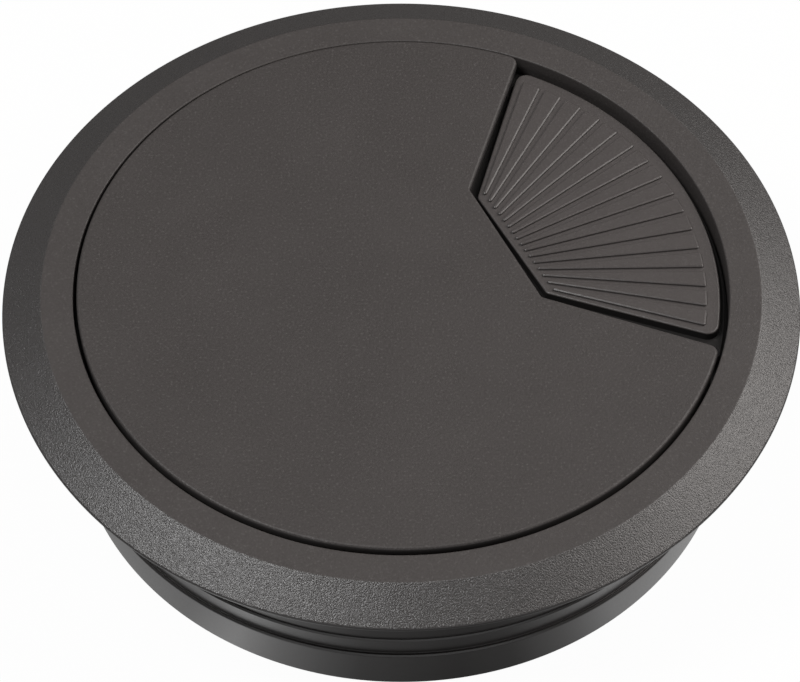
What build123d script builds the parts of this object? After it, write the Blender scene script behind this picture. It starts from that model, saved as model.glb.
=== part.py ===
from build123d import *
import os
from math import asin, atan, cos, degrees, hypot, radians, sin, tan

# Desk cable grommet: a flanged liner for a round hole in a desk top, a lid that turns in the liner,
# and a ribbed shutter that turns under the lid to close or open the lid's cable outlet.
# Millimetres, +Z up. Z = 0 is the desk top under the flange, and the origin lies on the common axis.

# Desk hole and flange
hole_radius = 40.0
hole_clearance = 0.1
flange_overhang = 6.5
rim_height = 0.65
rim_rounding = 0.25
rim_under_rounding = 0.4
bevel_width = 4.65
bevel_rise = 2.35
crease_rounding = 0.6

# Well that the lid sits in, and the lip that its hooks catch under
well_wall = 1.8
well_depth = 3.6
well_edge_rounding = 0.2
ledge_width = 1.6
lip_height = 3.0
lip_undercut = 0.7

# Tube below the flange, from the top down: neck, waist, upper grip ring, lower grip ring
neck_length = 4.5
neck_taper_length = 2.0
waist_length = 4.9
upper_step = 0.28
upper_land = 0.3
upper_taper_length = 2.85
lower_step = 0.45
lower_land = 0.4
lower_taper_length = 6.15
foot_taper = 0.7
foot_rounding = 0.3

# Lid plate
lid_gap = 0.4
lid_rise = 0.5
lid_thickness = 1.2
lid_edge_rounding = 0.25

# Cable outlet: a fan whose sides would meet short of the axis, cut off by a straight inner edge
outlet_direction = 26.75
outlet_angle = 93.6
outlet_apex = 5.16
outlet_inner = 13.65
outlet_inner_rounding = 0.6
outlet_outer_rounding = 1.2

# Skirt, hooks and webs under the lid, on the side that the shutter never reaches
skirt_inset = 0.2
skirt_end_margin = 2.0
hook_thickness = 1.2
hook_width = 9.0
hook_clearance = 0.25
hook_reach = 0.45
hook_nose = 1.6
hook_count = 3
web_thickness = 1.2
web_height = 1.6
web_hub_gap = 0.8

# Pivot: a split post on the lid through the shutter's hub
post_radius = 2.5
post_clearance = 0.08
post_end_play = 0.15
post_head_reach = 0.4
post_head_land = 0.5
post_nose = 1.4
post_nose_taper = 0.7
post_slot = 1.0
post_slot_depth = 3.6
hub_wall = 3.0

# Shutter plate, which runs between the lid and the ledge
shutter_rest_turn = 1.85
shutter_travel = 85.0
top_running_gap = 0.15
ledge_running_gap = 0.2
plate_thickness = 1.1
plate_margin = 1.5
plate_rim_gap = 0.4
plate_corner_rounding = 1.2

# Raised pad in the outlet
pad_side_gap = 1.35
pad_inner_gap = 1.1
pad_rim_gap = 1.0
pad_edge_rounding = 0.4
pad_inner_rounding = 0.7
pad_outer_rounding = 1.4
pad_wall = 1.2

# Wedge ribs on the pad
rib_count = 16
rib_height = 0.3
rib_draft = 15.0
rib_groove = 0.6
rib_tip_width = 0.5
rib_inner_border = 1.1
rib_outer_border = 1.55
rib_side_border_in = 0.5
rib_side_border_out = 1.05

# Radii that follow, from the outside in
spigot_radius = hole_radius - hole_clearance
flange_radius = hole_radius + flange_overhang
crease_radius = flange_radius - bevel_width
well_radius = spigot_radius - well_wall
lip_radius = well_radius - ledge_width
bore_radius = lip_radius + lip_undercut
lid_radius = well_radius - lid_gap
plate_radius = well_radius - plate_rim_gap
pad_radius = well_radius - pad_rim_gap
rib_radius = pad_radius - rib_outer_border
hook_radius = lip_radius - hook_clearance
hub_bore_radius = post_radius + post_clearance
hub_radius = hub_bore_radius + hub_wall

# Heights that follow
ring_top = rim_height + bevel_rise
ledge_top = ring_top - well_depth
lip_bottom = ledge_top - lip_height
lid_top = ring_top + lid_rise
lid_under = lid_top - lid_thickness
rib_top = lid_under - top_running_gap
pad_top = rib_top - rib_height
plate_bottom = ledge_top + ledge_running_gap
plate_top = plate_bottom + plate_thickness
waist_top = -neck_length - neck_taper_length
waist_end = waist_top - waist_length
upper_end = waist_end - upper_land - upper_taper_length
foot = upper_end - lower_land - lower_taper_length

fan_half = outlet_angle / 2


def polar(radius, angle):
    """Point at a radius and an angle in degrees."""
    return (radius * cos(radians(angle)), radius * sin(radians(angle)))


def fan_apex(inset):
    """Distance from the axis at which the outlet's sides meet once each is set in by inset."""
    return outlet_apex + inset / sin(radians(fan_half))


def fan_reach(inset, radius):
    """Angle from the outlet's middle to where a side that is set in by inset crosses a radius."""
    offset = fan_apex(inset) * sin(radians(fan_half))
    return fan_half - degrees(asin(offset / radius))


def fan_half_width(inset, distance):
    """Half the width between the sides, set in by inset, at a distance along the outlet's middle."""
    return (distance - fan_apex(inset)) * tan(radians(fan_half))


def rounded(face, inner_rounding, outer_rounding, middle_radius):
    """Round a fan's corners in plan: the inner pair, then the outer pair."""
    inner = [v for v in face.vertices() if hypot(v.X, v.Y) < middle_radius]
    face = fillet(inner, inner_rounding)
    outer = [v for v in face.vertices() if hypot(v.X, v.Y) > middle_radius]
    return fillet(outer, outer_rounding)


def fan_face(side_inset, inner_inset, radius, inner_rounding, outer_rounding):
    """The outlet's fan, set in on its two sides and its inner edge, out to a radius."""
    distance = outlet_inner + inner_inset
    width = fan_half_width(side_inset, distance)
    reach = fan_reach(side_inset, radius)
    left, right = (distance, width), (distance, -width)
    outline = [
        Line(left, right),
        Line(right, polar(radius, -reach)),
        ThreePointArc(polar(radius, -reach), (radius, 0), polar(radius, reach)),
        Line(polar(radius, reach), left),
    ]
    return rounded(make_face(outline), inner_rounding, outer_rounding, (distance + radius) / 2)


def turned(profile, start, arc):
    """A profile in the XZ plane carried round the axis from a start angle."""
    return Rot(0, 0, start) * revolve(Plane.XZ * profile, Axis.Z, arc)


def outline(*points):
    """Closed face through points."""
    return make_face(Polyline(*points, close=True))


def build_liner():
    """Collar: one profile turned about the axis, with its visible edges rounded."""
    root_upper = spigot_radius - upper_step
    root_lower = spigot_radius - lower_step
    profile = outline(
        (flange_radius, 0),
        (flange_radius, rim_height),
        (crease_radius, ring_top),
        (well_radius, ring_top),
        (well_radius, ledge_top),
        (lip_radius, ledge_top),
        (lip_radius, lip_bottom),
        (bore_radius, lip_bottom - lip_undercut),
        (bore_radius, foot),
        (spigot_radius - foot_taper, foot),
        (spigot_radius, upper_end - lower_land),
        (spigot_radius, upper_end),
        (root_lower, upper_end),
        (spigot_radius, waist_end - upper_land),
        (spigot_radius, waist_end),
        (root_upper, waist_end),
        (root_upper, waist_top),
        (spigot_radius, -neck_length),
        (spigot_radius, 0),
    )
    for radius, height, rounding in (
        (flange_radius, 0, rim_under_rounding),
        (flange_radius, rim_height, rim_rounding),
        (crease_radius, ring_top, crease_rounding),
        (well_radius, ring_top, well_edge_rounding),
        (spigot_radius - foot_taper, foot, foot_rounding),
    ):
        corner = profile.vertices().sort_by_distance((radius, height, 0))[0]
        profile = fillet(corner, rounding)
    return turned(profile, 0, 360)


def lid_plate():
    """Round plate with the outlet cut into its edge and its top edges rounded."""
    reach = fan_reach(0, lid_radius)
    width = fan_half_width(0, outlet_inner)
    left, right = (outlet_inner, width), (outlet_inner, -width)
    edge = [
        ThreePointArc(polar(lid_radius, reach), (-lid_radius, 0), polar(lid_radius, -reach)),
        Line(polar(lid_radius, -reach), right),
        Line(right, left),
        Line(left, polar(lid_radius, reach)),
    ]
    middle_radius = (outlet_inner + lid_radius) / 2
    face = rounded(make_face(edge), outlet_inner_rounding, outlet_outer_rounding, middle_radius)
    plate = extrude(Pos(0, 0, lid_under) * face, lid_thickness)
    return fillet(plate.faces().sort_by(Axis.Z)[-1].edges(), lid_edge_rounding)


def hook_angles(skirt_start, skirt_arc):
    """Middles of the hooks, the first and last flush with the skirt's ends."""
    half = degrees(hook_width / hook_radius) / 2
    step = (skirt_arc - 2 * half) / (hook_count - 1)
    return [skirt_start + half + step * i for i in range(hook_count)]


def snap_hook(angle):
    """Curved leg that hangs through the lip, with a barb that catches under it."""
    arc = degrees(hook_width / hook_radius)
    inside = hook_radius - hook_thickness
    barb = lip_radius + hook_reach
    catch = lip_bottom - hook_clearance
    barb_top = catch - (barb - hook_radius)
    leg = outline(
        (inside, lid_under),
        (hook_radius, lid_under),
        (hook_radius, catch),
        (barb, barb_top),
        (hook_radius, barb_top - hook_nose),
        (inside, barb_top - hook_nose),
    )
    return turned(leg, angle - arc / 2, arc)


def web(angle):
    """Stiffening web from clear of the hub out to a hook."""
    start = hub_radius + web_hub_gap
    length = hook_radius - hook_thickness / 2 - start
    face = Pos(start + length / 2, 0, lid_under) * Rectangle(length, web_thickness)
    return Rot(0, 0, angle) * extrude(face, -web_height)


def pivot_post():
    """Split post with a snap head under the hub."""
    head_top = plate_bottom - post_end_play
    head_radius = post_radius + post_head_reach
    tip = head_top - post_head_land - post_nose
    profile = outline(
        (0, lid_under),
        (post_radius, lid_under),
        (post_radius, head_top),
        (head_radius, head_top),
        (head_radius, head_top - post_head_land),
        (head_radius - post_nose_taper, tip),
        (0, tip),
    )
    slot = Pos(0, 0, tip) * Box(4 * head_radius, post_slot, 2 * post_slot_depth)
    return turned(profile, 0, 360) - slot


def build_lid():
    """Cover plate with its skirt, hooks, webs and pivot post."""
    swept = fan_reach(-plate_margin, plate_radius)
    skirt_start = swept + shutter_travel + skirt_end_margin
    skirt_arc = 360 - swept - skirt_end_margin - skirt_start
    skirt_outside = lid_radius - skirt_inset
    skirt_inside = hook_radius - hook_thickness / 2
    skirt = outline(
        (skirt_inside, ledge_top),
        (skirt_outside, ledge_top),
        (skirt_outside, lid_under),
        (skirt_inside, lid_under),
    )
    lid = lid_plate() + turned(skirt, skirt_start, skirt_arc) + pivot_post()
    for angle in hook_angles(skirt_start, skirt_arc):
        lid += snap_hook(angle)
        lid += web(angle)
    return Rot(0, 0, outlet_direction) * lid


def shutter_plate():
    """Flat fan, a margin wider than the outlet, joined to the hub round the post."""
    reach = fan_reach(-plate_margin, plate_radius)
    apex = (fan_apex(-plate_margin), 0)
    edge = [
        Line(apex, polar(plate_radius, -reach)),
        ThreePointArc(polar(plate_radius, -reach), (plate_radius, 0), polar(plate_radius, reach)),
        Line(polar(plate_radius, reach), apex),
    ]
    face = make_face(edge)
    corners = [v for v in face.vertices() if hypot(v.X, v.Y) > hub_radius]
    fan = extrude(Pos(0, 0, plate_bottom) * fillet(corners, plate_corner_rounding), plate_thickness)
    hub = extrude(Pos(0, 0, plate_bottom) * Circle(hub_radius), lid_under - top_running_gap - plate_bottom)
    bore = extrude(Pos(0, 0, plate_bottom) * Circle(hub_bore_radius), lid_under - plate_bottom)
    return fan + hub - bore


def shutter_pad():
    """Raised fan that fills the outlet, with rounded top edges."""
    face = fan_face(pad_side_gap, pad_inner_gap, pad_radius, pad_inner_rounding, pad_outer_rounding)
    pad = extrude(Pos(0, 0, plate_top) * face, pad_top - plate_top)
    return fillet(pad.faces().sort_by(Axis.Z)[-1].edges(), pad_edge_rounding)


def pad_core():
    """Hollow that cores the pad out from below to an even wall."""
    side_inset = pad_side_gap + pad_wall
    inner_inset = pad_inner_gap + pad_wall
    radius = pad_radius - pad_wall
    face = fan_face(side_inset, inner_inset, radius, pad_inner_rounding, pad_outer_rounding)
    return extrude(Pos(0, 0, plate_bottom) * face, pad_top - pad_wall - plate_bottom)


def wedge_ribs():
    """Fan of wedges: narrow round tips on a line beside the inner edge, wide ends on an arc."""
    tip_distance = outlet_inner + pad_inner_gap + rib_inner_border
    border = (rib_side_border_in + rib_tip_width / 2) / cos(radians(fan_half))
    tip_reach = degrees(atan((fan_half_width(pad_side_gap, tip_distance) - border) / tip_distance))
    end_reach = fan_reach(pad_side_gap, rib_radius) - degrees(rib_side_border_out / rib_radius)
    groove = degrees(rib_groove / rib_radius)
    pitch = (2 * end_reach + groove) / rib_count
    ribs = []
    for i in range(rib_count):
        start = -end_reach + i * pitch
        stop = start + pitch - groove
        lean = (start + stop) / 2
        tip_angle = tip_reach * (2 * i / (rib_count - 1) - 1)
        tip = Vector(tip_distance, tip_distance * tan(radians(tip_angle)))
        along = (Vector(*polar(rib_radius, lean)) - tip).normalized()
        across = Vector(-along.Y, along.X) * (rib_tip_width / 2)
        low, high = tip - across, tip + across
        first, last = Vector(*polar(rib_radius, start)), Vector(*polar(rib_radius, stop))
        edge = [
            ThreePointArc(high, tip - along * (rib_tip_width / 2), low),
            Line(low, first),
            ThreePointArc(first, polar(rib_radius, lean), last),
            Line(last, high),
        ]
        ribs.append(extrude(Pos(0, 0, pad_top) * make_face(edge), rib_height, taper=rib_draft))
    return ribs


def build_shutter():
    """Shutter as it stands at rest, turned a little past the middle of the outlet."""
    shutter = shutter_plate() + shutter_pad() - pad_core()
    shutter += wedge_ribs()
    return Rot(0, 0, outlet_direction + shutter_rest_turn) * shutter


os.makedirs("parts", exist_ok=True)
for name, piece in (("liner", build_liner()), ("lid", build_lid()), ("shutter", build_shutter())):
    export_step(piece, f"parts/{name}.step")
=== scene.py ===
"""Desk cable grommet in charcoal plastic: a flanged liner, a lid that turns in it and a ribbed shutter."""
import math

import bmesh
import bpy
import numpy as np
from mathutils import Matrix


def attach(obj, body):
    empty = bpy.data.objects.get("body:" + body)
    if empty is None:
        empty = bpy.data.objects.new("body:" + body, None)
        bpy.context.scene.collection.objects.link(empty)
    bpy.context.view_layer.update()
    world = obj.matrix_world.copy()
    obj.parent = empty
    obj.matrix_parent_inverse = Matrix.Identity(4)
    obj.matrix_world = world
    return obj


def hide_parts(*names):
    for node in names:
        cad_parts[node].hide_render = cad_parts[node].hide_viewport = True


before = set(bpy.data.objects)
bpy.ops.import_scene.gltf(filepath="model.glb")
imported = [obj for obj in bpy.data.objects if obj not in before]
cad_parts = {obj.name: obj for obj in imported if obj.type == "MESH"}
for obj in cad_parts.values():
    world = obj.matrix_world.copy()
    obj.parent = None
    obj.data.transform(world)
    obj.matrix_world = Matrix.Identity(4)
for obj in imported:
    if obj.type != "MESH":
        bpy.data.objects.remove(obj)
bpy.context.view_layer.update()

MM = 0.001

# Liner, in millimetres: +Z up, the origin on the axis at the desk top
FLANGE_RADIUS = 46.48
RIM_UNDER_ROUNDING = 0.4
RIM_HEIGHT = 0.65
RIM_ROUNDING = 0.25
CREASE_RADIUS = 41.85
CREASE_ROUNDING = 0.6
RING_TOP = 3.0
WELL_RADIUS = 38.1
WELL_ROUNDING = 0.2
LEDGE_TOP = -0.6
LIP_RADIUS = 36.5
LIP_BOTTOM = -3.6
BORE_RADIUS = 37.2
SPIGOT_RADIUS = 39.9
NECK_ROUNDING = 0.2
NECK_END = -4.5
WAIST_TOP = -6.5
WAIST_ROUNDING = 5.0
UPPER_CREST = -11.4
UPPER_STEP = 0.28
UPPER_STEP_ROUNDING = 0.05
UPPER_LAND = 0.3
UPPER_LAND_ROUNDING = 0.2
LOWER_CREST = -14.55
LOWER_STEP = 0.45
LOWER_STEP_ROUNDING = 0.1
LOWER_LAND = 0.4
LOWER_LAND_ROUNDING = 0.6
CREST_FLAT = 0.24
CREST_LEAN = 0.16
CREST_ROUNDING = 0.06
CREST_TIP_ROUNDING = 0.05
FOOT = -21.1
FOOT_RADIUS = 39.2
FOOT_INSIDE_ROUNDING = 0.2
FOOT_OUTSIDE_ROUNDING = 0.3

# Lid
LID_RADIUS = 37.7
LID_TOP = 3.5
LID_UNDER = 2.3
LID_EDGE_ROUNDING = 0.35
OUTLET_DIRECTION = math.radians(26.75)
OUTLET_HALF = math.radians(46.8)
OUTLET_APEX = 5.16
OUTLET_SIDE = OUTLET_APEX * math.sin(OUTLET_HALF)
OUTLET_INNER = 13.65
OUTLET_INNER_ROUNDING = 0.6
OUTLET_OUTER_ROUNDING = 1.2

# Under the lid, each rooted a little way into its plate
ROOT_TOP = LID_UNDER + 0.3
SKIRT_INSIDE = 35.65
SKIRT_OUTSIDE = 37.5
SKIRT_START = math.radians(130.36)
SKIRT_STOP = math.radians(314.64)
HOOK_RADIUS = 36.25
HOOK_THICKNESS = 1.2
HOOK_WIDTH = 9.0
HOOK_SET_IN = 0.02
HOOK_CATCH = -3.85
HOOK_BARB = 0.7
HOOK_NOSE = 1.6
HOOK_COUNT = 3
WEB_START = 6.38
WEB_THICKNESS = 1.2
WEB_HEIGHT = 1.6
POST_RADIUS = 2.5
POST_SHANK_SET_IN = 0.02
POST_HEAD_TOP = -0.55
POST_HEAD_DRAFT = 0.03
POST_HEAD_REACH = 0.4
POST_HEAD_LAND = 0.5
POST_NOSE = 1.4
POST_NOSE_TAPER = 0.7
POST_SLOT = 1.0
POST_SLOT_TOP = 1.15

# Shutter
SHUTTER_TURN = math.radians(1.85)
PLATE_BOTTOM = -0.4
PLATE_TOP = 0.7
PLATE_MARGIN = 1.5
PLATE_RADIUS = 37.7
PLATE_INNER = 4.0
PLATE_TIP = 0.2
PLATE_CORNER = 1.2
HUB_BOTTOM = -0.43
HUB_RADIUS = 5.58
HUB_BORE = 2.58
PAD_TOP = 1.85
PAD_RADIUS = 37.1
PAD_SIDE_GAP = 1.35
PAD_INNER_GAP = 1.1
PAD_WALL = 1.2
PAD_EDGE_ROUNDING = 0.25
PAD_INNER_ROUNDING = 0.7
PAD_OUTER_ROUNDING = 1.4
RIB_COUNT = 16
RIB_HEIGHT = 0.3
RIB_ROOT = 0.1
RIB_DRAFT = 0.03
RIB_BEVEL_RUN = 0.14
RIB_BEVEL_DROP = 0.085
RIB_TIP_RADIUS = 0.25
RIB_RADIUS = 35.55
RIB_GROOVE = 0.6
RIB_INNER_BORDER = 1.1
RIB_SIDE_BORDER_IN = 0.5
RIB_SIDE_BORDER_OUT = 1.05

# How finely the surfaces are divided
AROUND = 256
CORNER_STEPS = 8
HOOK_STEPS = 24
LID_SHARES = 0.3, 0.65
PAD_SHARE = 0.5
BEVEL_SHARES = 0, 0.15, 0.85, 1
SMALL_ROUNDING = 0.12
HOLDING_LINE = 0.05
SHARP_ANGLE = math.radians(40)

# Moulded grain: scales are multiples of the broad grain's, and noise runs from 0 to 1
FINE_SCALE = 2.3
MOTTLE_SCALE = 0.9
MOTTLE_SHARE = 0.7
CLOUDS_PER_MM = 0.12
FLECK_START, FLECK_FULL = 0.70, 0.78
GRAIN_LOW, GRAIN_HIGH = 0.3, 0.7

# Floor: rings by radius, with the painted glow that reflections see close to the tube and further out in
# front
FLOOR_RADIUS = 38, 39, 52, 64, 85, 300, 3000
FLOOR_NEAR = 0, 1, 1, 0.45, 0.2, 0, 0
FLOOR_FAR = 0, 0, 0, 0, 0.1, 0.25, 0.2
FLOOR_WHITE = 0.97


def grid_quads(rows, columns, close_rows, close_columns):
    """Quads over a grid of points; a way that is closed joins its last line to its first."""
    row = np.arange(rows if close_rows else rows - 1)[:, None]
    column = np.arange(columns if close_columns else columns - 1)
    next_row, next_column = (row + 1) % rows, (column + 1) % columns
    corners = (
        row * columns + column,
        row * columns + next_column,
        next_row * columns + next_column,
        next_row * columns + column,
    )
    return np.stack(corners, -1).reshape(-1, 4)


def capped_rings(rings, first_pole, last_pole):
    """Rings joined in order and drawn together to a pole at each end, which closes the shell."""
    count, around = rings.shape[:2]
    step = np.arange(around)
    after = (step + 1) % around
    top = (count - 1) * around
    first = np.stack([after, step, np.full(around, count * around)], -1)
    last = np.stack([top + step, top + after, np.full(around, count * around + 1)], -1)
    points = np.concatenate([rings.reshape(-1, 3), [first_pole, last_pole]])
    return points, [grid_quads(count, around, False, True), first, last]


def ended_loops(loops):
    """Closed loops joined in order, with a flat face across the first and the last."""
    count, around = loops.shape[:2]
    first = np.arange(around)[None, ::-1]
    last = np.arange(around)[None] + (count - 1) * around
    return loops.reshape(-1, 3), [grid_quads(count, around, False, True), first, last]


def unit(vectors):
    """Vectors scaled to length one."""
    return vectors / np.linalg.norm(vectors, axis=-1, keepdims=True)


def rounded_loop(corners):
    """Closed loop through corners (u, v, rounding).

    Each corner p becomes the arc of its rounding that touches both sides. The arc's centre lies on the
    corner's bisector, rounding / sin(half angle) away. A point on each side, a holding line's width
    from the arc or a third of the straight run where that is less, keeps the flat beside it flat when
    the shading is smooth.
    """
    corners = np.asarray(corners, float)
    p, rounding = corners[:, :2], corners[:, 2:3]
    back, ahead = unit(np.roll(p, 1, 0) - p), unit(np.roll(p, -1, 0) - p)
    half = np.arccos(np.clip((back * ahead).sum(-1, keepdims=True), -1, 1)) / 2
    centre = p + unit(back + ahead) * rounding / np.sin(half)
    cut = rounding / np.tan(half)
    start, stop = p + back * cut, p + ahead * cut
    straight = np.linalg.norm(np.roll(start, -1, 0) - stop, axis=-1, keepdims=True)
    hold = np.minimum(HOLDING_LINE, straight / 3)
    sweep = (math.pi - 2 * half)[:, None]
    share = np.linspace(0, 1, CORNER_STEPS)[None, :, None]
    weights = np.sin((1 - share) * sweep), np.sin(share * sweep)
    spokes = (start - centre)[:, None] * weights[0] + (stop - centre)[:, None] * weights[1]
    arcs = centre[:, None] + spokes / np.sin(sweep)
    before = (start + back * np.roll(hold, 1, 0))[:, None]
    beyond = (stop + ahead * hold)[:, None]
    return np.concatenate([before, arcs, beyond], 1).reshape(-1, 2)


def turned(loop, angles):
    """A loop of (radius, height) carried round the axis: (r cos a, r sin a, z) for each angle a."""
    a = np.asarray(angles)[:, None]
    radius, height = loop[:, 0], loop[:, 1]
    return np.stack([radius * np.cos(a), radius * np.sin(a), height + 0 * a], -1)


def full_turn(loop):
    """A closed loop of (radius, height) carried once round the axis, joined to its start."""
    points = turned(loop, np.linspace(0, 2 * math.pi, AROUND, endpoint=False))
    return points.reshape(-1, 3), [grid_quads(AROUND, len(loop), True, True)]


def outline_arcs(arcs):
    """Points and outward normals of a closed outline made of arcs with straight runs between them.

    An arc is (centre, radius, first normal angle, last normal angle, count). Its points are
    centre + radius (cos a, sin a), and a hollow arc has a negative radius, so that its normals still
    point out of the outline. A point is set a holding line's width off each end of a small arc, and a
    large arc leaves its two ends to the small arcs that it runs into.
    """
    points, normals = [], []
    for centre, radius, first, last, count in arcs:
        small = abs(radius) < OUTLET_INNER
        a = np.linspace(first, last, count) if small else np.linspace(first, last, count + 2)[1:-1]
        normal = np.stack([np.cos(a), np.sin(a)], -1)
        point = np.asarray(centre) + radius * normal
        if small:
            along = np.stack([-normal[:, 1], normal[:, 0]], -1) * HOLDING_LINE
            point = np.concatenate([point[:1] - along[:1], point, point[-1:] + along[-1:]])
            normal = np.concatenate([normal[:1], normal, normal[-1:]])
        points.append(point)
        normals.append(normal)
    return np.concatenate(points), np.concatenate(normals)


def corner_on_rim(side, rounding, radius):
    """Centre of a rounding that touches the outlet's lower side line and, from inside, a circle.

    The side line is p . m = side with m = (sin h, cos h). A positive rounding lies beyond it in the
    outlet, and a negative one lies before it in the lid.
    """
    m = np.array([math.sin(OUTLET_HALF), math.cos(OUTLET_HALF)])
    along = np.array([math.cos(OUTLET_HALF), -math.sin(OUTLET_HALF)])
    reach = math.sqrt((radius - abs(rounding)) ** 2 - (side + rounding) ** 2)
    return m * (side + rounding) + along * reach


def corner_at_inner_edge(side, inner, rounding):
    """Centre of a rounding in the outlet that touches its lower side line and the line x = inner."""
    x = inner + rounding
    y = (side + rounding - x * math.sin(OUTLET_HALF)) / math.cos(OUTLET_HALF)
    return np.array([x, y])


def fan_outline(side, inner, radius, inner_rounding, outer_rounding):
    """The outlet's fan with its sides and inner edge set in, out to a radius, middle along +X."""
    low = corner_on_rim(side, outer_rounding, radius)
    tip = corner_at_inner_edge(side, inner, inner_rounding)
    edge = math.atan2(low[1], low[0])
    slant = math.pi / 2 + OUTLET_HALF
    mirror = np.array([1, -1])
    return outline_arcs([
        (low, outer_rounding, -slant, edge, CORNER_STEPS),
        ((0, 0), radius, edge, -edge, AROUND // 3),
        (low * mirror, outer_rounding, -edge, slant, CORNER_STEPS),
        (tip * mirror, inner_rounding, slant, math.pi, CORNER_STEPS),
        (tip, inner_rounding, math.pi, 2 * math.pi - slant, CORNER_STEPS),
    ])


def lid_outline():
    """The lid's edge: a circle with the outlet cut into it, the outlet's middle along +X."""
    low = corner_on_rim(OUTLET_SIDE, -OUTLET_OUTER_ROUNDING, LID_RADIUS)
    tip = corner_at_inner_edge(OUTLET_SIDE, OUTLET_INNER, OUTLET_INNER_ROUNDING)
    edge = math.atan2(low[1], low[0])
    slant = math.pi / 2 - OUTLET_HALF
    mirror = np.array([1, -1])
    return outline_arcs([
        ((0, 0), LID_RADIUS, -edge, 2 * math.pi + edge, AROUND),
        (low, OUTLET_OUTER_ROUNDING, edge, slant, CORNER_STEPS),
        (tip, -OUTLET_INNER_ROUNDING, slant, 0, CORNER_STEPS),
        (tip * mirror, -OUTLET_INNER_ROUNDING, 0, -slant, CORNER_STEPS),
        (low * mirror, OUTLET_OUTER_ROUNDING, -slant, -edge, CORNER_STEPS),
    ])


def level(points, height):
    """Plan points as a ring at a height."""
    return np.column_stack([points, np.full(len(points), height)])


def edge_rings(outline, rounding, height, upward):
    """Rings that round an outline's edge: set in by e(1 - cos b) and e(1 - sin b) short of the height.

    Upward rings climb a wall and end on the flat at the height. The others start on that flat and go
    off it, for an edge that is met from below.
    """
    points, normals = outline
    b = np.linspace(0, math.pi / 2, CORNER_STEPS)
    inset = rounding * (1 - np.cos(b))
    short = rounding * (1 - np.sin(b))
    inset = np.concatenate([[0], inset, [rounding + HOLDING_LINE]])
    short = np.concatenate([[rounding + HOLDING_LINE], short, [0]])
    way = 1 if upward else -1
    rings = [level(points - normals * i, height - way * s) for i, s in zip(inset, short)]
    return rings if upward else rings[::-1]


def drawn_in(points, centre, shares, height):
    """Rings of plan points drawn towards a centre by shares, at a height."""
    return [level(centre + (points - centre) * share, height) for share in shares]


def spun(shells, angle):
    """Shells turned about the axis by an angle."""
    c, s = math.cos(angle), math.sin(angle)
    turn = np.array([[c, -s, 0], [s, c, 0], [0, 0, 1]])
    return [(points @ turn.T, faces) for points, faces in shells]


def moulding(name, shells, finishes, finish_of_face=None):
    """One piece from closed shells, with its place in its mesh and its faces turned outwards."""
    points, faces, start = [], [], 0
    for shell_points, face_sets in shells:
        points.append(shell_points)
        for face_set in face_sets:
            faces += (face_set + start).tolist()
        start += len(shell_points)
    mesh = bpy.data.meshes.new(name)
    mesh.from_pydata(np.concatenate(points) * MM, [], faces)
    for finish in finishes:
        mesh.materials.append(finish)
    if finish_of_face is not None:
        mesh.polygons.foreach_set("material_index", finish_of_face.astype(np.int32))
    work = bmesh.new()
    work.from_mesh(mesh)
    bmesh.ops.recalc_face_normals(work, faces=work.faces)
    work.to_mesh(mesh)
    work.free()
    mesh.shade_smooth()
    mesh.set_sharp_from_angle(angle=SHARP_ANGLE)
    piece = bpy.data.objects.new(name, mesh)
    bpy.context.scene.collection.objects.link(piece)
    return piece


def finish_by_height(piece, *heights):
    """Numbers each face's finish by how many of the heights its middle lies below."""
    middles = np.empty(3 * len(piece.data.polygons))
    piece.data.polygons.foreach_get("center", middles)
    below = middles[2::3, None] < np.array(heights) * MM
    piece.data.polygons.foreach_set("material_index", below.sum(-1).astype(np.int32))


def liner_profile():
    """Corners (radius, height, rounding) of the collar's section, from the rim in, down and back up."""
    return [
        (FLANGE_RADIUS, 0, RIM_UNDER_ROUNDING),
        (FLANGE_RADIUS, RIM_HEIGHT, RIM_ROUNDING),
        (CREASE_RADIUS, RING_TOP, CREASE_ROUNDING),
        (WELL_RADIUS, RING_TOP, WELL_ROUNDING),
        (WELL_RADIUS, LEDGE_TOP, SMALL_ROUNDING),
        (LIP_RADIUS, LEDGE_TOP, SMALL_ROUNDING),
        (LIP_RADIUS, LIP_BOTTOM, SMALL_ROUNDING),
        (BORE_RADIUS, LIP_BOTTOM - BORE_RADIUS + LIP_RADIUS, SMALL_ROUNDING),
        (BORE_RADIUS, FOOT, FOOT_INSIDE_ROUNDING),
        (FOOT_RADIUS, FOOT, FOOT_OUTSIDE_ROUNDING),
        (SPIGOT_RADIUS, LOWER_CREST - LOWER_LAND, LOWER_LAND_ROUNDING),
        (SPIGOT_RADIUS, LOWER_CREST - CREST_FLAT, CREST_ROUNDING),
        (SPIGOT_RADIUS - CREST_LEAN, LOWER_CREST, CREST_TIP_ROUNDING),
        (SPIGOT_RADIUS - LOWER_STEP, LOWER_CREST, LOWER_STEP_ROUNDING),
        (SPIGOT_RADIUS, UPPER_CREST - UPPER_LAND, UPPER_LAND_ROUNDING),
        (SPIGOT_RADIUS, UPPER_CREST - CREST_FLAT, CREST_ROUNDING),
        (SPIGOT_RADIUS - CREST_LEAN, UPPER_CREST, CREST_TIP_ROUNDING),
        (SPIGOT_RADIUS - UPPER_STEP, UPPER_CREST, UPPER_STEP_ROUNDING),
        (SPIGOT_RADIUS - UPPER_STEP, WAIST_TOP, WAIST_ROUNDING),
        (SPIGOT_RADIUS, NECK_END, WAIST_ROUNDING),
        (SPIGOT_RADIUS, 0, NECK_ROUNDING),
    ]


def liner_shells():
    """The collar: its section carried once round the axis."""
    return [full_turn(rounded_loop(liner_profile()))]


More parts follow.
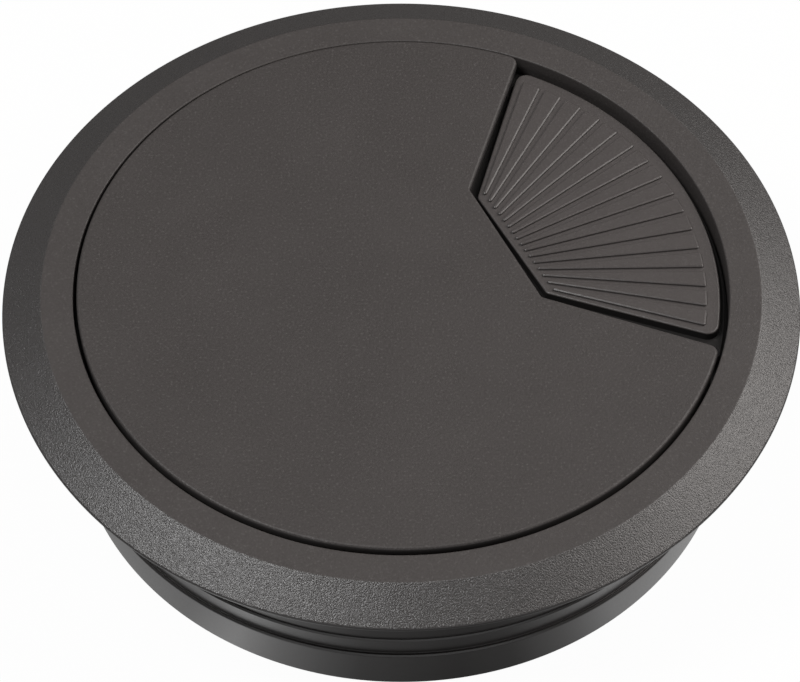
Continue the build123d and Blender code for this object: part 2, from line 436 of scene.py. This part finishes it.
def liner_finish_of_face():
    """Finish by side of the section: 0 grained on the bevel, 1 matt on the ring and the well, 2 plain.

    The bevel is the side after the profile's second corner, and the ring and the well's wall come next.
    Half of each rounding goes with the side before it and half with the side after it.
    """
    sides = len(liner_profile())
    side_finish = np.full(sides, 2)
    side_finish[1] = 0
    side_finish[2:4] = 1
    corner_points = CORNER_STEPS + 2
    corner, step = np.divmod(np.arange(sides * corner_points), corner_points)
    side = (corner - (step < corner_points // 2)) % sides
    return np.tile(side_finish[side], AROUND)


def lid_plate():
    """Cover plate: rings out under it, up its edge with both edges rounded, and in over its top."""
    points, normals = outline = lid_outline()
    under = points - normals * (SMALL_ROUNDING + HOLDING_LINE)
    over = points - normals * (LID_EDGE_ROUNDING + HOLDING_LINE)
    rings = drawn_in(under, 0, LID_SHARES, LID_UNDER)
    rings += edge_rings(outline, SMALL_ROUNDING, LID_UNDER, False)
    rings += edge_rings(outline, LID_EDGE_ROUNDING, LID_TOP, True)
    rings += drawn_in(over, 0, LID_SHARES[::-1], LID_TOP)
    return capped_rings(np.array(rings), (0, 0, LID_UNDER), (0, 0, LID_TOP))


def skirt():
    """Part-round wall that sits on the liner's ledge: a rounded rectangle carried along an arc."""
    section = rounded_loop([
        (SKIRT_INSIDE, LEDGE_TOP, SMALL_ROUNDING),
        (SKIRT_OUTSIDE, LEDGE_TOP, SMALL_ROUNDING),
        (SKIRT_OUTSIDE, ROOT_TOP, SMALL_ROUNDING),
        (SKIRT_INSIDE, ROOT_TOP, SMALL_ROUNDING),
    ])
    return ended_loops(turned(section, np.linspace(SKIRT_START, SKIRT_STOP, AROUND // 2)))


def hook_middles():
    """Angles of the hooks' middles, the first and last flush with the skirt's ends."""
    half = HOOK_WIDTH / HOOK_RADIUS / 2
    return np.linspace(SKIRT_START + half, SKIRT_STOP - half, HOOK_COUNT)


def snap_hook(middle):
    """Leg that hangs through the lip: its barbed section carried along a short arc, set in at the ends."""
    inside = HOOK_RADIUS - HOOK_THICKNESS
    barb_height = HOOK_CATCH - HOOK_BARB
    section = rounded_loop([
        (inside, ROOT_TOP, SMALL_ROUNDING),
        (HOOK_RADIUS, ROOT_TOP, SMALL_ROUNDING),
        (HOOK_RADIUS, HOOK_CATCH, SMALL_ROUNDING),
        (HOOK_RADIUS + HOOK_BARB, barb_height, SMALL_ROUNDING),
        (HOOK_RADIUS, barb_height - HOOK_NOSE, SMALL_ROUNDING),
        (inside, barb_height - HOOK_NOSE, SMALL_ROUNDING),
    ])
    half = (HOOK_WIDTH / 2 - HOOK_SET_IN) / HOOK_RADIUS
    return ended_loops(turned(section, np.linspace(middle - half, middle + half, HOOK_STEPS)))


def web(middle):
    """Stiffening web: a rounded rectangle of (across, height) carried straight out along an angle."""
    across = WEB_THICKNESS / 2
    section = rounded_loop([
        (-across, LID_UNDER - WEB_HEIGHT, SMALL_ROUNDING),
        (across, LID_UNDER - WEB_HEIGHT, SMALL_ROUNDING),
        (across, ROOT_TOP, SMALL_ROUNDING),
        (-across, ROOT_TOP, SMALL_ROUNDING),
    ])
    reach = np.linspace(WEB_START, HOOK_RADIUS - HOOK_THICKNESS / 2, 2)[:, None]
    x, y = reach + 0 * section[:, 0], section[:, 0] + 0 * reach
    loops = np.stack([x, y, section[:, 1] + 0 * reach], -1)
    return spun([ended_loops(loops)], middle)[0]


def post_sections():
    """Radius and height down the split post: the shank from inside its root, the snap head and its nose."""
    shank = POST_RADIUS - POST_SHANK_SET_IN
    head = POST_RADIUS + POST_HEAD_REACH
    land = POST_HEAD_TOP - POST_HEAD_LAND
    return np.array([
        (shank, POST_SLOT_TOP + HOLDING_LINE),
        (shank, POST_HEAD_TOP + HOLDING_LINE),
        (shank, POST_HEAD_TOP),
        (head, POST_HEAD_TOP - POST_HEAD_DRAFT),
        (head, land),
        (head - POST_NOSE_TAPER, land - POST_NOSE),
    ])


def post_half(side):
    """Half of the split post: arcs r (cos a, sin a) from one end of the slot's flat side to the other."""
    sections = post_sections()
    radius, height = sections[:, :1], sections[:, 1:]
    flat = POST_SLOT / 2
    end = np.arcsin(flat / radius)
    a = end + (math.pi - 2 * end) * np.linspace(0, 1, AROUND // 8)
    rings = np.stack([radius * np.cos(a), side * radius * np.sin(a), height + 0 * a], -1)
    middle = side * (flat + POST_RADIUS) / 2
    return capped_rings(rings, (0, middle, height[0, 0]), (0, middle, height[-1, 0]))


def post_root():
    """The unsplit root of the post, a short round bar out of the lid's underside."""
    section = np.array([(POST_RADIUS, ROOT_TOP), (POST_RADIUS, POST_SLOT_TOP)])
    around = np.linspace(0, 2 * math.pi, AROUND // 4, endpoint=False)
    rings = turned(section, around).transpose(1, 0, 2)
    return capped_rings(rings, (0, 0, ROOT_TOP), (0, 0, POST_SLOT_TOP))


def lid_shells():
    """The lid's plate, skirt, hooks, webs and post, turned to where the outlet stands."""
    shells = [lid_plate(), skirt(), post_root(), post_half(1), post_half(-1)]
    shells += [snap_hook(middle) for middle in hook_middles()]
    shells += [web(middle) for middle in hook_middles()]
    return spun(shells, OUTLET_DIRECTION)


def shutter_body():
    """Shutter without hub and ribs, as one run of rings.

    They start in the hollow under the pad, go down its wall, out under the plate, up the plate's edge,
    in over the plate to the pad's foot, up the pad's wall, round its edge and in over its top.
    """
    pad_side, pad_inner = OUTLET_SIDE + PAD_SIDE_GAP, OUTLET_INNER + PAD_INNER_GAP
    roundings = PAD_INNER_ROUNDING, PAD_OUTER_ROUNDING
    core = fan_outline(pad_side + PAD_WALL, pad_inner + PAD_WALL, PAD_RADIUS - PAD_WALL, *roundings)
    plate = fan_outline(OUTLET_SIDE - PLATE_MARGIN, PLATE_INNER, PLATE_RADIUS, PLATE_TIP, PLATE_CORNER)
    pad = fan_outline(pad_side, pad_inner, PAD_RADIUS, *roundings)
    centre = np.array([(pad_inner + PAD_RADIUS) / 2, 0])
    ceiling = PAD_TOP - PAD_WALL
    pad_over = pad[0] - pad[1] * (PAD_EDGE_ROUNDING + HOLDING_LINE)
    rings = drawn_in(core[0] - core[1] * HOLDING_LINE, centre, (PAD_SHARE, 1), ceiling)
    rings += [level(core[0], ceiling), level(core[0], ceiling - HOLDING_LINE)]
    rings += [level(core[0], PLATE_BOTTOM + HOLDING_LINE), level(core[0], PLATE_BOTTOM)]
    rings += [level(core[0] + core[1] * HOLDING_LINE, PLATE_BOTTOM)]
    rings += edge_rings(plate, SMALL_ROUNDING, PLATE_BOTTOM, False)
    rings += edge_rings(plate, SMALL_ROUNDING, PLATE_TOP, True)
    rings += [level(pad[0] + pad[1] * HOLDING_LINE, PLATE_TOP), level(pad[0], PLATE_TOP)]
    rings += edge_rings(pad, PAD_EDGE_ROUNDING, PAD_TOP, True)
    rings += drawn_in(pad_over, centre, (PAD_SHARE,), PAD_TOP)
    return capped_rings(np.array(rings), (*centre, ceiling), (*centre, PAD_TOP))


def hub():
    """Ring that turns on the post, a hair deeper than the plate: a rounded rectangle carried round."""
    hub_top = PAD_TOP + RIB_HEIGHT
    return full_turn(rounded_loop([
        (HUB_BORE, HUB_BOTTOM, SMALL_ROUNDING),
        (HUB_RADIUS, HUB_BOTTOM, SMALL_ROUNDING),
        (HUB_RADIUS, hub_top, SMALL_ROUNDING),
        (HUB_BORE, hub_top, SMALL_ROUNDING),
    ]))


def rib_triangles():
    """Middles of the three roundings of each wedge rib: its tip, and its two ends on the rib circle.

    Tips stand on a line beside the pad's inner edge and ends on an arc, both evenly spaced by angle.
    """
    side = OUTLET_SIDE + PAD_SIDE_GAP
    tip_x = OUTLET_INNER + PAD_INNER_GAP + RIB_INNER_BORDER
    half_width = tip_x * math.tan(OUTLET_HALF) - side / math.cos(OUTLET_HALF)
    border = (RIB_SIDE_BORDER_IN + RIB_TIP_RADIUS) / math.cos(OUTLET_HALF)
    tip_reach = math.atan((half_width - border) / tip_x)
    end_reach = OUTLET_HALF - math.asin(side / RIB_RADIUS) - RIB_SIDE_BORDER_OUT / RIB_RADIUS
    pitch = (2 * end_reach + RIB_GROOVE / RIB_RADIUS) / RIB_COUNT
    tip_y = tip_x * np.tan(np.linspace(-tip_reach, tip_reach, RIB_COUNT))
    tips = np.stack([np.full(RIB_COUNT, tip_x), tip_y], -1)
    first = -end_reach + pitch * np.arange(RIB_COUNT) + RIB_TIP_RADIUS / RIB_RADIUS
    last = first + pitch - (RIB_GROOVE + 2 * RIB_TIP_RADIUS) / RIB_RADIUS
    reach = RIB_RADIUS - RIB_TIP_RADIUS
    ends = [reach * np.stack([np.cos(a), np.sin(a)], -1) for a in (first, last)]
    return np.stack([tips, *ends], 1)


def wedge_ribs():
    """Wedge ribs: rings p + r (cos a, sin a) round a triangle's corners p, with r shrinking up the rib.

    The radius falls by the draft up the wall, then by the bevel's run while the height gains its drop.
    """
    triangles = rib_triangles()
    along = unit(np.roll(triangles, -1, 1) - triangles)
    normal = np.stack([along[..., 1], -along[..., 0]], -1)
    after = np.arctan2(normal[..., 1], normal[..., 0])
    before = np.roll(after, 1, 1)
    sweep = (after - before) % (2 * math.pi)
    a = before[..., None] + sweep[..., None] * np.linspace(0, 1, CORNER_STEPS)
    spoke = np.stack([np.cos(a), np.sin(a)], -1)
    bevel = np.array(BEVEL_SHARES)
    climb = RIB_HEIGHT - RIB_BEVEL_DROP * (1 - bevel)
    radius = RIB_TIP_RADIUS - RIB_DRAFT - RIB_BEVEL_RUN * bevel
    heights = PAD_TOP + np.concatenate([[-RIB_ROOT, 0], climb, [RIB_HEIGHT]])
    radius = np.concatenate([[RIB_TIP_RADIUS] * 2, radius, [radius[-1] - HOLDING_LINE / 2]])
    shells = []
    for triangle, spokes in zip(triangles, spoke):
        outlines = [(triangle[:, None] + spokes * r).reshape(-1, 2) for r in radius]
        rings = [level(outline, z) for outline, z in zip(outlines, heights)]
        middle = triangle.mean(0)
        shells.append(capped_rings(np.array(rings), (*middle, heights[0]), (*middle, heights[-1])))
    return shells


def shutter_shells():
    """The shutter's body, hub and ribs, turned to where the shutter stands at rest."""
    return spun([shutter_body(), hub(), *wedge_ribs()], OUTLET_DIRECTION + SHUTTER_TURN)


def grain_group():
    """Moulded grain from the piece's own coordinates.

    Height is broad noise plus a share of finer noise, both in grains per millimetre. Tint is slow
    cloudiness with fine mottling in it, and Fleck marks a few scattered spots where a noise of its own runs
    high.
    """
    group = bpy.data.node_groups.new("moulded_grain", "ShaderNodeTree")
    face = group.interface
    face.new_socket("Vector", in_out="INPUT", socket_type="NodeSocketVector")
    face.new_socket("Grains per mm", in_out="INPUT", socket_type="NodeSocketFloat")
    face.new_socket("Fine share", in_out="INPUT", socket_type="NodeSocketFloat")
    face.new_socket("Height", in_out="OUTPUT", socket_type="NodeSocketFloat")
    face.new_socket("Tint", in_out="OUTPUT", socket_type="NodeSocketFloat")
    face.new_socket("Fleck", in_out="OUTPUT", socket_type="NodeSocketFloat")
    nodes, links = group.nodes, group.links
    given = nodes.new("NodeGroupInput")
    result = nodes.new("NodeGroupOutput")
    millimetres = nodes.new("ShaderNodeVectorMath")
    millimetres.operation = "SCALE"
    millimetres.inputs["Scale"].default_value = 1 / MM
    links.new(given.outputs["Vector"], millimetres.inputs[0])

    def noise(detail, scale_factor=None, scale=1.0):
        """Noise in millimetres, at a fixed scale or at a multiple of the grains per millimetre."""
        node = nodes.new("ShaderNodeTexNoise")
        node.inputs["Detail"].default_value = detail
        node.inputs["Scale"].default_value = scale
        links.new(millimetres.outputs["Vector"], node.inputs["Vector"])
        if scale_factor:
            times = nodes.new("ShaderNodeMath")
            times.operation = "MULTIPLY"
            times.inputs[1].default_value = scale_factor
            links.new(given.outputs["Grains per mm"], times.inputs[0])
            links.new(times.outputs["Value"], node.inputs["Scale"])
        return node.outputs["Fac"]

    broad, fine = noise(1.0, 1.0), noise(1.0, FINE_SCALE)
    blend = nodes.new("ShaderNodeMix")
    links.new(given.outputs["Fine share"], blend.inputs["Factor"])
    links.new(broad, blend.inputs["A"])
    links.new(fine, blend.inputs["B"])
    links.new(blend.outputs["Result"], result.inputs["Height"])
    mottle = nodes.new("ShaderNodeMix")
    mottle.inputs["Factor"].default_value = MOTTLE_SHARE
    links.new(noise(2.0, scale=CLOUDS_PER_MM), mottle.inputs["A"])
    links.new(noise(1.0, MOTTLE_SCALE), mottle.inputs["B"])
    links.new(mottle.outputs["Result"], result.inputs["Tint"])
    fleck = nodes.new("ShaderNodeMapRange")
    fleck.inputs["From Min"].default_value = FLECK_START
    fleck.inputs["From Max"].default_value = FLECK_FULL
    links.new(noise(0.0, MOTTLE_SCALE), fleck.inputs["Value"])
    links.new(fleck.outputs["Result"], result.inputs["Fleck"])
    return group


def charcoal_plastic(name, grain, dark, light, fleck, roughness, specular, grains, fine, depth):
    """Moulded charcoal plastic: clouded colour with pale flecks, a range of roughness and bumped grain.

    Colour runs from dark to light with the tint and towards fleck at the flecks. Roughness runs over its
    range with the grain's height, and depth is the grain's depth in millimetres.
    """
    material = bpy.data.materials.new(name)
    material.use_nodes = True
    nodes, links = material.node_tree.nodes, material.node_tree.links
    shader = nodes["Principled BSDF"]
    shader.inputs["Specular IOR Level"].default_value = specular
    place = nodes.new("ShaderNodeTexCoord")
    moulded = nodes.new("ShaderNodeGroup")
    moulded.node_tree = grain
    moulded.inputs["Grains per mm"].default_value = grains
    moulded.inputs["Fine share"].default_value = fine
    links.new(place.outputs["Object"], moulded.inputs["Vector"])
    cloud, specks = (nodes.new("ShaderNodeMix") for _ in range(2))
    cloud.data_type = specks.data_type = "RGBA"
    cloud.inputs["A"].default_value = (*dark, 1)
    cloud.inputs["B"].default_value = (*light, 1)
    specks.inputs["B"].default_value = (*fleck, 1)
    links.new(moulded.outputs["Tint"], cloud.inputs["Factor"])
    links.new(moulded.outputs["Fleck"], specks.inputs["Factor"])
    links.new(cloud.outputs["Result"], specks.inputs["A"])
    links.new(specks.outputs["Result"], shader.inputs["Base Color"])
    gloss = nodes.new("ShaderNodeMapRange")
    gloss.inputs["From Min"].default_value = GRAIN_LOW
    gloss.inputs["From Max"].default_value = GRAIN_HIGH
    gloss.inputs["To Min"].default_value = roughness[0]
    gloss.inputs["To Max"].default_value = roughness[1]
    links.new(moulded.outputs["Height"], gloss.inputs["Value"])
    links.new(gloss.outputs["Result"], shader.inputs["Roughness"])
    bump = nodes.new("ShaderNodeBump")
    bump.inputs["Distance"].default_value = depth * MM
    links.new(moulded.outputs["Height"], bump.inputs["Height"])
    links.new(bump.outputs["Normal"], shader.inputs["Normal"])
    return material


def painted_reflection_floor(height, degrees, brightness):
    """Floor under the tube: white to the camera with a little shadow in it, and a painted lit table in
    reflections.

    It is rings of points round the axis, the first two under the tube's wall, so that the floor inside
    the tube stays plain and dark. To all but camera rays its colour is dark, and glossy rays see a painted
    glow in its place: a painted reflection that is bright by the tube's sides, shaded in front close by and
    brighter further out in front. What shows in reflections is near(r) b(a) + far(r) max(0, -sin a), with
    b the brightness that is given at angles round the axis, where 1 is white.
    """
    rings = np.column_stack([FLOOR_RADIUS, np.full(len(FLOOR_RADIUS), height)])
    a = np.linspace(0, 2 * math.pi, AROUND, endpoint=False)
    by_angle = np.interp(np.degrees(a), degrees, brightness, period=360)[:, None]
    in_front = np.maximum(0, -np.sin(a))[:, None]
    painted_glow = np.array(FLOOR_NEAR) * by_angle + np.array(FLOOR_FAR) * in_front
    white = np.full(painted_glow.shape, FLOOR_WHITE)
    white[:, 0] = 0
    points = np.concatenate([turned(rings, a).reshape(-1, 3), [(0, 0, height)]])
    inner = np.arange(AROUND) * len(rings)
    inside = np.stack([inner, np.roll(inner, -1), np.full(AROUND, len(points) - 1)], -1)
    faces = grid_quads(AROUND, len(rings), True, False).tolist() + inside.tolist()
    mesh = bpy.data.meshes.new("floor")
    mesh.from_pydata(points * MM, [], faces)
    for name, values in (("painted_glow", painted_glow), ("white", white)):
        attribute = mesh.attributes.new(name, "FLOAT", "POINT")
        attribute.data.foreach_set("value", np.append(values.ravel(), 0))
    material = bpy.data.materials.new("painted_reflection_floor")
    material.use_nodes = True
    material.cycles.emission_sampling = "NONE"
    nodes, links = material.node_tree.nodes, material.node_tree.links
    shader = nodes["Principled BSDF"]
    shader.inputs["Roughness"].default_value = 0.9
    shader.inputs["Specular IOR Level"].default_value = 0.1
    shader.inputs["Emission Strength"].default_value = 1.0
    path = nodes.new("ShaderNodeLightPath")
    tone = nodes.new("ShaderNodeMix")
    tone.data_type = "RGBA"
    tone.inputs["A"].default_value = (0.10, 0.10, 0.10, 1)
    tone.inputs["B"].default_value = (0.90, 0.90, 0.90, 1)
    links.new(path.outputs["Is Camera Ray"], tone.inputs["Factor"])
    links.new(tone.outputs["Result"], shader.inputs["Base Color"])
    # Painted reflection: the glow attribute is emitted to glossy rays only, so the tube shows a lit table
    # that no lamp lights
    painted_glow_reader, ground = (nodes.new("ShaderNodeAttribute") for _ in range(2))
    painted_glow_reader.attribute_name, ground.attribute_name = "painted_glow", "white"
    mirrored, share = (nodes.new("ShaderNodeMath") for _ in range(2))
    mirrored.operation = share.operation = "MULTIPLY"
    links.new(painted_glow_reader.outputs["Fac"], mirrored.inputs[0])
    links.new(path.outputs["Is Glossy Ray"], mirrored.inputs[1])
    links.new(mirrored.outputs["Value"], shader.inputs["Emission Color"])
    backdrop = nodes.new("ShaderNodeEmission")
    mix = nodes.new("ShaderNodeMixShader")
    links.new(ground.outputs["Fac"], share.inputs[0])
    links.new(path.outputs["Is Camera Ray"], share.inputs[1])
    links.new(share.outputs["Value"], mix.inputs["Fac"])
    links.new(shader.outputs["BSDF"], mix.inputs[1])
    links.new(backdrop.outputs["Emission"], mix.inputs[2])
    links.new(mix.outputs["Shader"], nodes["Material Output"].inputs["Surface"])
    mesh.materials.append(material)
    floor = bpy.data.objects.new("floor", mesh)
    bpy.context.scene.collection.objects.link(floor)


def soft_box(name, direction, distance, width, height, brightness, colour=(1, 1, 1)):
    """Area lamp, in metres, that faces the object: brightness 1 would show a white card there as white."""
    lamp = bpy.data.lights.new(name, "AREA")
    lamp.shape = "RECTANGLE"
    lamp.size, lamp.size_y = width, height
    lamp.color = colour
    lamp.energy = brightness * math.pi**2 * distance**2
    body = bpy.data.objects.new(name, lamp)
    way = np.asarray(direction, float) / np.linalg.norm(direction)
    body.location = way * distance
    body.rotation_mode = "QUATERNION"
    body.rotation_quaternion = body.location.to_track_quat("Z", "Y")
    bpy.context.scene.collection.objects.link(body)


def studio_world(ambient):
    """Even grey light from all round, white to the camera."""
    world = bpy.data.worlds.new("studio")
    bpy.context.scene.world = world
    world.use_nodes = True
    nodes, links = world.node_tree.nodes, world.node_tree.links
    shade = nodes["Background"]
    path = nodes.new("ShaderNodeLightPath")
    strength = nodes.new("ShaderNodeMapRange")
    strength.inputs["To Min"].default_value = ambient
    strength.inputs["To Max"].default_value = 1.0
    shade.inputs["Color"].default_value = (1, 1, 1, 1)
    links.new(path.outputs["Is Camera Ray"], strength.inputs["Value"])
    links.new(strength.outputs["Result"], shade.inputs["Strength"])


def photograph_camera():
    """Camera at the photograph's angle: above the front, looking down on the rim's middle."""
    elevation = math.radians(52.111)
    distance, lens = 490.0, 189.1
    sideways, upwards = -0.15, -5.0
    camera = bpy.data.cameras.new("photograph_camera")
    camera.lens = lens
    camera.sensor_width = 36.0
    camera.clip_start, camera.clip_end = 0.01, 20.0
    body = bpy.data.objects.new("photograph_camera", camera)
    back = np.array([0, -math.cos(elevation), math.sin(elevation)])
    up = np.array([0, math.sin(elevation), math.cos(elevation)])
    body.location = (np.array([sideways, 0, RIM_HEIGHT]) + back * distance + up * upwards) * MM
    body.rotation_euler = (math.pi / 2 - elevation, 0, 0)
    bpy.context.scene.collection.objects.link(body)
    bpy.context.scene.camera = body


grain = grain_group()
bevel_grain = charcoal_plastic(
    "bevel_grain", grain, (0.042, 0.0385, 0.0375), (0.048, 0.044, 0.043), (0.064, 0.059, 0.057),
    roughness=(0.24, 0.38), specular=0.88, grains=5.4, fine=0.35, depth=0.092)
ring_matt = charcoal_plastic(
    "ring_matt", grain, (0.043, 0.0375, 0.0355), (0.083, 0.075, 0.073), (0.084, 0.077, 0.074),
    roughness=(0.42, 0.58), specular=0.45, grains=4.2, fine=0.45, depth=0.045)
tube_plain = charcoal_plastic(
    "tube_plain", grain, (0.046, 0.043, 0.042), (0.052, 0.048, 0.047), (0.055, 0.051, 0.050),
    roughness=(0.28, 0.34), specular=0.7, grains=4.0, fine=0.3, depth=0.003)
lid_matt = charcoal_plastic(
    "lid_matt", grain, (0.034, 0.0295, 0.028), (0.078, 0.070, 0.068), (0.082, 0.075, 0.072),
    roughness=(0.42, 0.58), specular=0.45, grains=3.8, fine=0.45, depth=0.058)
shutter_matt = charcoal_plastic(
    "shutter_matt", grain, (0.058, 0.051, 0.049), (0.094, 0.085, 0.083), (0.094, 0.085, 0.083),
    roughness=(0.30, 0.42), specular=0.55, grains=5.0, fine=0.4, depth=0.030)
# Painted shade: a near-black colour for the pad's walls and what lies round them down in the gaps, standing
# in for the deep shade there
painted_gap_shade = charcoal_plastic(
    "painted_gap_shade", grain, (0.020, 0.0185, 0.018), (0.025, 0.0232, 0.0226), (0.027, 0.025, 0.0244),
    roughness=(0.42, 0.50), specular=0.3, grains=4.0, fine=0.3, depth=0.003)

liner_finishes = [bevel_grain, ring_matt, tube_plain]
liner = moulding("liner_moulding", liner_shells(), liner_finishes, liner_finish_of_face())
lid = moulding("lid_moulding", lid_shells(), [lid_matt, tube_plain])
shutter = moulding("shutter_moulding", shutter_shells(), [shutter_matt, painted_gap_shade, tube_plain])
finish_by_height(lid, LID_TOP - LID_EDGE_ROUNDING / 2)
# Faces between the pad's top edge and a little under the plate's top get the painted gap shade; those lower
# down stay plain
finish_by_height(shutter, PAD_TOP - PAD_EDGE_ROUNDING / 2, PLATE_TOP - SMALL_ROUNDING)
for piece, node in ((liner, "liner"), (lid, "lid"), (shutter, "shutter")):
    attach(piece, node)
    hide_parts(node)

# Painted reflections: the floor's glow by angle round the tube, bright at the sides and shaded in front
painted_reflection_floor(
    FOOT,
    degrees=(195, 220, 230, 240, 248, 256, 263, 270, 280, 290, 300, 310, 322, 340, 360),
    brightness=(0.40, 0.55, 0.62, 1.15, 0.68, 0.40, 0.22, 0.17, 0.11, 0.14, 0.36, 0.74, 0.76, 0.70, 0.60))
studio_world(ambient=0.07)
soft_box("left_high", (-0.43, -0.12, 0.90), distance=0.75, width=0.28, height=0.28, brightness=0.55)
soft_box("right_broad", (0.67, 0.235, 0.64), distance=0.55, width=0.52, height=0.33, brightness=0.74,
         colour=(1.0, 0.96, 0.93))
soft_box("front_low", (0.0, -1.0, 0.21), distance=0.80, width=1.30, height=0.28, brightness=0.13)
soft_box("left_back_card", (-0.64, 0.61, 0.46), distance=0.80, width=0.60, height=0.50, brightness=0.04)
soft_box("right_back_card", (0.60, 0.71, 0.36), distance=0.80, width=0.48, height=0.36, brightness=0.028)
photograph_camera()
bpy.context.scene.view_settings.view_transform = "Standard"
